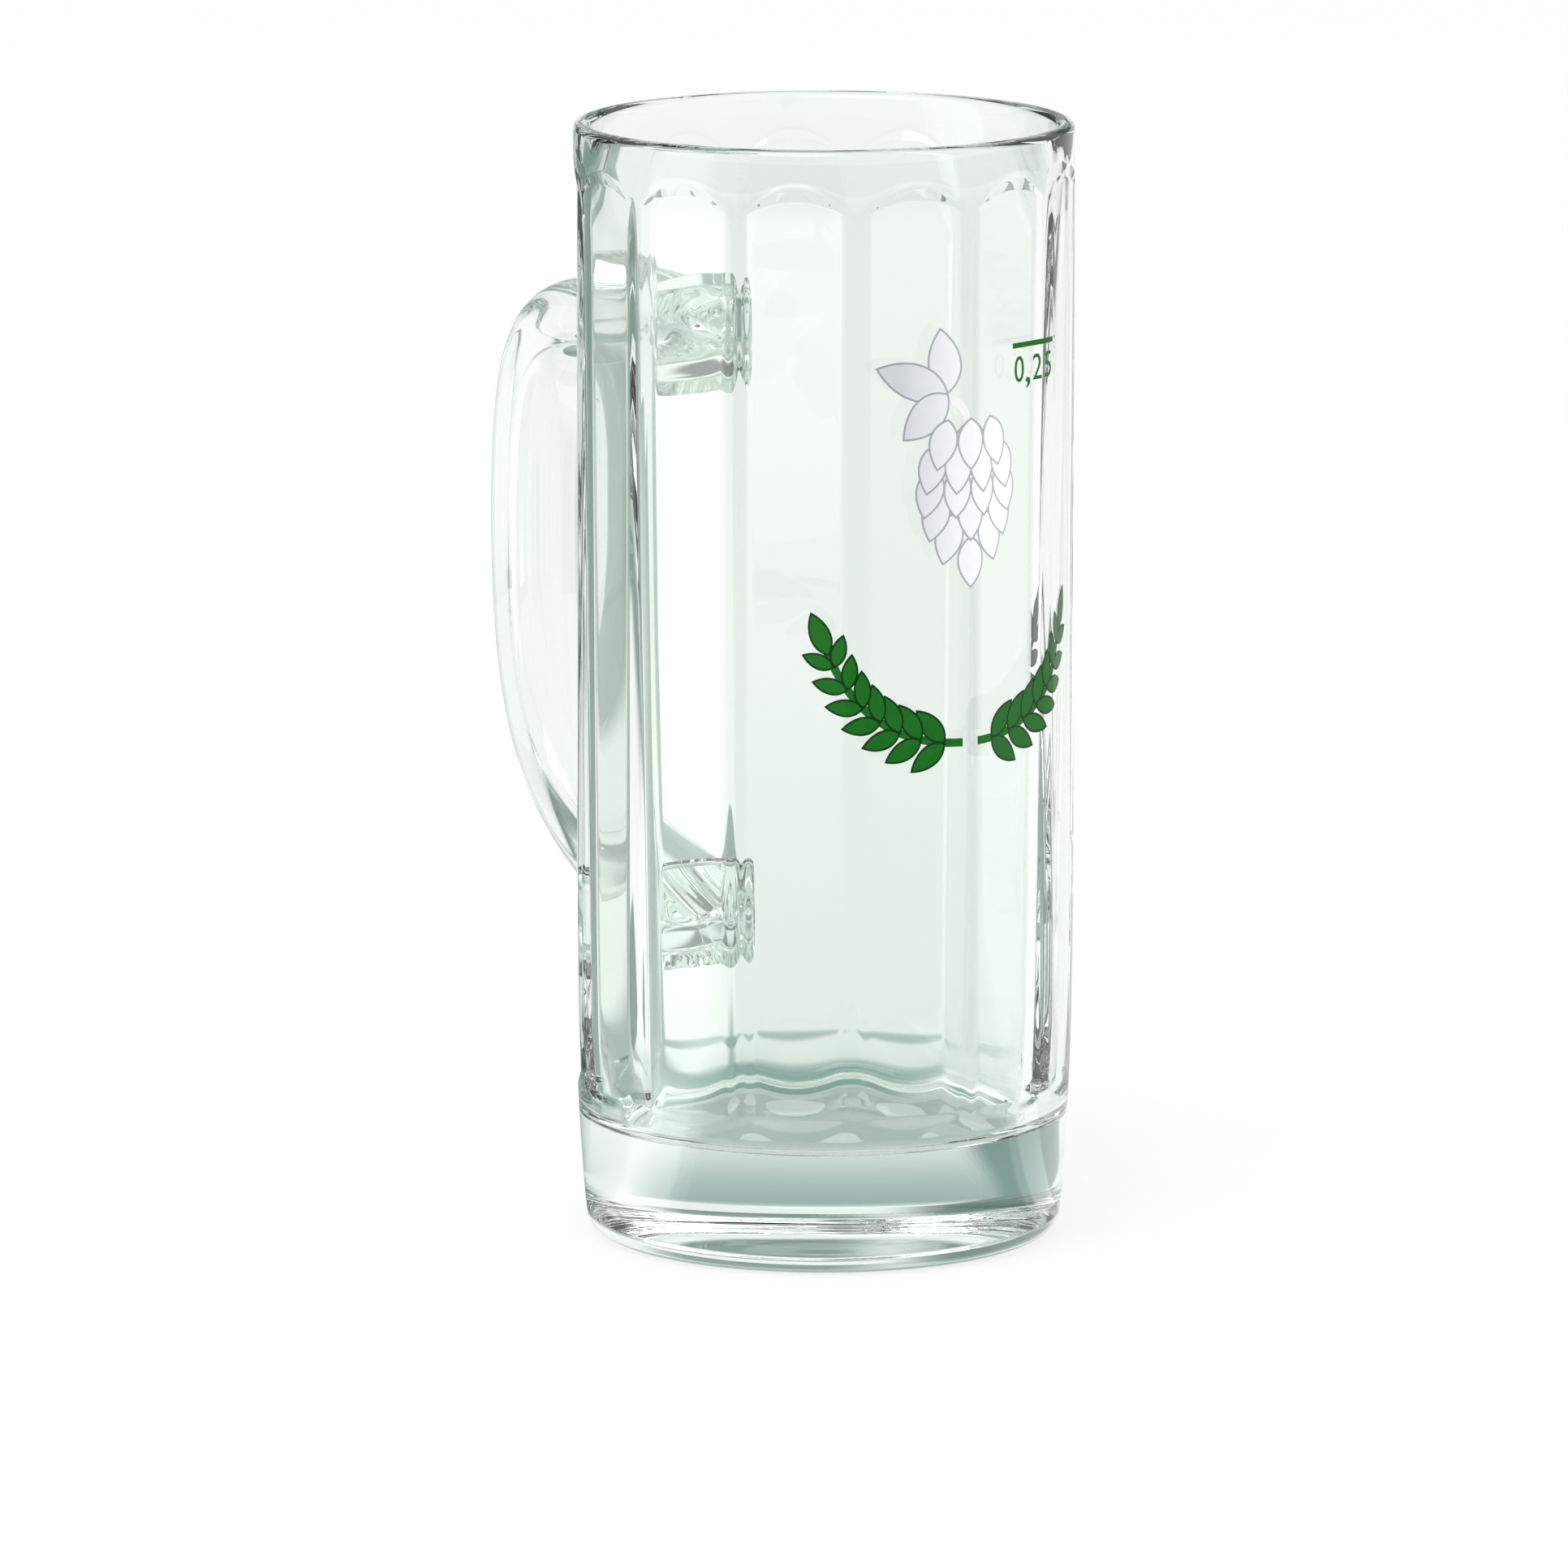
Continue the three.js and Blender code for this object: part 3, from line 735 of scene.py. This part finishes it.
def make_digit(text, name, node):
    curve = bpy.data.curves.new(name, "FONT")
    curve.body = text
    holder = bpy.data.objects.new(name, curve)
    bpy.context.collection.objects.link(holder)
    depsgraph = bpy.context.evaluated_depsgraph_get()
    flat = bpy.data.meshes.new_from_object(holder.evaluated_get(depsgraph))
    bpy.data.objects.remove(holder)
    mesh = bmesh.new()
    mesh.from_mesh(flat)
    bpy.data.meshes.remove(flat)
    low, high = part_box(node)
    arcs = [BODY_RADIUS * math.asin(y / BODY_RADIUS) for y in (low.y, high.y)]
    xs, ys = ([vert.co[axis] for vert in mesh.verts] for axis in (0, 1))
    wide, tall = max(xs) - min(xs), max(ys) - min(ys)
    size = ((arcs[1] - arcs[0]) / wide, (high.z - low.z) / tall, 1)
    bmesh.ops.translate(mesh, vec=(-min(xs), -min(ys), 0), verts=mesh.verts)
    bmesh.ops.scale(mesh, vec=size, verts=mesh.verts)
    bmesh.ops.translate(mesh, vec=(arcs[0], low.z, PRINT_LIFT), verts=mesh.verts)
    add_print(mesh, name, node, "green_enamel", green_enamel)


make_fill_line()
make_digit("0", "digit_0_enamel", "fill_digit_0")
make_digit(",", "comma_enamel", "fill_comma")
make_digit("2", "digit_2_enamel", "fill_digit_2")
make_digit("5", "digit_5_enamel", "fill_digit_5")

# %% [markdown]
# ## The stage
# The mug stands on a white table in a white surround. Clear glass on pure white would vanish: it shows
# itself by what it mirrors and bends into view. An image of a room could give it that, but then nobody
# could say which edge comes from what. So table and surround are plain white, and sheets come next.

# %% World and floor
LIGHT_LEVEL = 0.9
FLOOR_HALF_SIDE = 4
FLOOR_DROP = 0.05 * MM


def seen_rays(graph, straight, mirrored, through):
    """How much of a thing's own white each kind of ray sees. Rays that only light things see none."""
    names = ("Is Camera Ray", "Is Glossy Ray", "Is Transmission Ray")
    rays = [graph.add("ShaderNodeLightPath", None, None, name) for name in names]
    return (rays[0] * straight).larger(rays[1] * mirrored).larger(rays[2] * through)


def make_world():
    world = bpy.data.worlds.new("surround")
    bpy.context.scene.world = world
    graph = Graph(world)
    light = graph.add("ShaderNodeBackground", None, {"Color": (1, 1, 1, 1), "Strength": LIGHT_LEVEL})
    white = graph.add("ShaderNodeBackground", None, {"Color": (1, 1, 1, 1), "Strength": 1.0})
    seen = seen_rays(graph, straight=1, mirrored=1, through=1)
    mixed = graph.add("ShaderNodeMixShader", None, {0: seen, 1: light, 2: white})
    graph.add("ShaderNodeOutputWorld", None, {"Surface": mixed})


def make_floor():
    material, graph = new_material("white_table")
    matt = graph.add("ShaderNodeBsdfDiffuse", None, {"Color": (0.95, 0.95, 0.95, 1)})
    white = graph.add("ShaderNodeEmission", None, {"Color": (1, 1, 1, 1), "Strength": 1.0})
    seen = seen_rays(graph, straight=0.8, mirrored=0.6, through=0.4)
    mixed = graph.add("ShaderNodeMixShader", None, {0: seen, 1: matt, 2: white})
    graph.add("ShaderNodeOutputMaterial", None, {"Surface": mixed})
    mesh = bmesh.new()
    bmesh.ops.create_grid(mesh, x_segments=1, y_segments=1, size=FLOOR_HALF_SIDE)
    bmesh.ops.translate(mesh, vec=(0, 0, -FLOOR_DROP), verts=mesh.verts)
    floor = to_object(mesh, "floor", material)


make_world()
make_floor()
print("floor side in m:", 2 * FLOOR_HALF_SIDE)


# %% [markdown]
# ### Sheets round the glass
# A flat panel mirrors one patch of the table, at twice the panel's own turn. A bright sheet there makes the
# panel white, and a dark sheet beside it makes the land between two panels grey. The band under the lip
# mirrors the table further out, so the bright sheets stop at its edge. Lamps could do the same, but they
# would also light the table, and sheets that only the glass can see don't.

# %% Sheets on the table
SHEET_CUTS = 23
SHEET_STEPS = 48


def smooth(share):
    share = max(0, min(1, share))
    return share * share * (3 - 2 * share)


def add_sheet(name, start, end, near, far, tone, side_fade, far_fade, is_mirrored=False):
    """A ring sector between two (radius, height) ends. Angles count from straight behind, to the right.

    The tone fades at both sides, over side_fade degrees, and at the far end, over far_fade metres.
    A mirrored sheet shows in the glass as in a mirror, and not through it.
    """
    material, graph = new_material(name)
    fade = graph.add("ShaderNodeAttribute", {"attribute_name": "fade"}, None, "Fac")
    clear = graph.add("ShaderNodeBsdfTransparent")
    glow = graph.add("ShaderNodeEmission", None, {"Color": (*tone, 1), "Strength": 1.0})
    mixed = graph.add("ShaderNodeMixShader", None, {0: fade, 1: clear, 2: glow})
    graph.add("ShaderNodeOutputMaterial", None, {"Surface": mixed})
    mesh = bmesh.new()
    ends = [mesh.verts.new((radius, 0, height)) for radius, height in (near, far)]
    edge = mesh.edges.new(ends)
    bmesh.ops.subdivide_edges(mesh, edges=[edge], cuts=SHEET_CUTS)
    span = math.radians(end - start)
    bmesh.ops.spin(
        mesh, geom=mesh.verts[:] + mesh.edges[:], cent=(0, 0, 0), axis=(0, 0, 1),
        angle=span, steps=SHEET_STEPS,
    )
    layer = mesh.verts.layers.float.new("fade")
    far_end = Vector((far[0], far[1]))
    for vert in mesh.verts:
        angle = math.atan2(vert.co.y, vert.co.x) % (2 * math.pi)
        if angle > span + 0.01:
            angle = 0
        from_far = (Vector((vert.co.xy.length, vert.co.z)) - far_end).length
        from_side = math.degrees(min(angle, span - angle))
        vert[layer] = smooth(from_side / side_fade) * smooth(from_far / far_fade)
    turn = Matrix.Rotation(CAMERA_AZIMUTH + math.radians(90 - end), 4, "Z")
    bmesh.ops.transform(mesh, matrix=turn, verts=mesh.verts)
    sheet = to_object(mesh, name, material)
    sheet.visible_camera = False
    sheet.visible_diffuse = False
    sheet.visible_shadow = False
    sheet.visible_transmission = not is_mirrored


# %% [markdown]
# ### In front of the mug
# These sheets are for the mirror in the glass: three bright patches and a brighter one at the left for the
# panels, three dark ones for the lands, a dark ring further out for the band, and a sheet that darkens the
# panels towards their feet.

# %% Front sheets
WHITE = Vector((1, 1, 1))
GREY_GREEN = Vector((0.7, 1.0, 0.92))
LOW, MIDDLE, HIGH = 0.05 * MM, 0.1 * MM, 0.15 * MM
SHEET_START, SHEET_END, BAND_EDGE = 0.04, 3, 1.17
MIRRORED_PATCHES = (
    ("front_right_sheet", 146, 183, GREY_GREEN * 0.05),
    ("front_left_sheet", 206, 240, GREY_GREEN * 0.05),
    ("right_front_sheet", 97, 128, GREY_GREEN * 0.05),
    ("front_bright_sheet", 184, 205, WHITE * 4),
    ("right_bright_sheet", 129, 147, WHITE * 1.8),
    ("far_right_bright_sheet", 74, 94, WHITE * 2),
)

near, band = (SHEET_START, LOW), (BAND_EDGE, LOW)
add_sheet("front_far_sheet", 60, 262, band, (SHEET_END, LOW), GREY_GREEN * 0.05, 6, 0.3, True)
for name, start, end, tone in MIRRORED_PATCHES:
    add_sheet(name, start, end, near, band, tone, 3, 0.01, True)
near_front = (SHEET_START, MIDDLE), (1.12, MIDDLE)
add_sheet("near_front_sheet", 110, 215, *near_front, GREY_GREEN * 0.05, 6, 1.0, True)
add_sheet("left_front_sheet", -130, -88, near, band, WHITE * 2.9, 12, 0.01)
print("front sheets:", len(MIRRORED_PATCHES) + 3)

# %% [markdown]
# ### Behind and above the mug
# The round edges, the thick base and the handle bend light from far to the side into view. Grey sheets
# behind the mug and over it give them their tones. Straight behind it, the surround stays white.

# %% Back sheets
CONTACT_SHADOW_GREEN = Vector((0.6, 1.0, 0.93))
left_back = (0.036, MIDDLE), (SHEET_END, MIDDLE)
add_sheet("left_back_sheet", -59, -13, *left_back, GREY_GREEN * 0.32, 6, 0.3)
# A painted contact shadow: a dark grey-green patch on the table round the foot, seen only in the glass,
# darkens the base and the panels' feet.
add_sheet("painted_contact_shadow_sheet", -95, 30, (0.03, HIGH), (0.13, HIGH), CONTACT_SHADOW_GREEN * 0.38, 22, 0.095)
add_sheet("back_sheet", -75, -8, (3, 0), (3, 1.6), GREY_GREEN * 0.33, 20, 0.4)
add_sheet("horizon_sheet", -80, -8, (2.9, 0), (2.9, 1.0), GREY_GREEN * 0.22, 20, 0.3)
add_sheet("right_back_sheet", -20, 45, (3, 0.5), (3, 1.6), GREY_GREEN * 0.33, 20, 0.4)
add_sheet("ceiling_sheet", -170, 20, (0.1, 2.2), (2.2, 2.2), GREY_GREEN * 0.06, 20, 0.8)

# %% [markdown]
# ### A soft box
# One large, weak lamp stands in front. It gives the enamel its shine and the mug a soft shadow. A small
# lamp of the same power would draw a hard shadow and a hot spot on every panel.

# %% Soft box
def add_soft_box(name, place, size, power):
    data = bpy.data.lights.new(name, "AREA")
    data.size = size
    data.energy = power
    lamp = bpy.data.objects.new(name, data)
    lamp.location = place
    lamp.rotation_euler = (mug_middle - Vector(place)).to_track_quat("-Z", "Y").to_euler()
    bpy.context.collection.objects.link(lamp)


add_soft_box("top_soft_box", place=(0.5, -0.9, 1.5), size=1.2, power=14)
print("lamps:", len(bpy.data.lights))

# %% [markdown]
# Glass needs many bounces: each wall bends a ray twice, and the handle adds more.

scene = bpy.context.scene
scene.cycles.max_bounces = 32
scene.cycles.transmission_bounces = 32
scene.cycles.glossy_bounces = 16
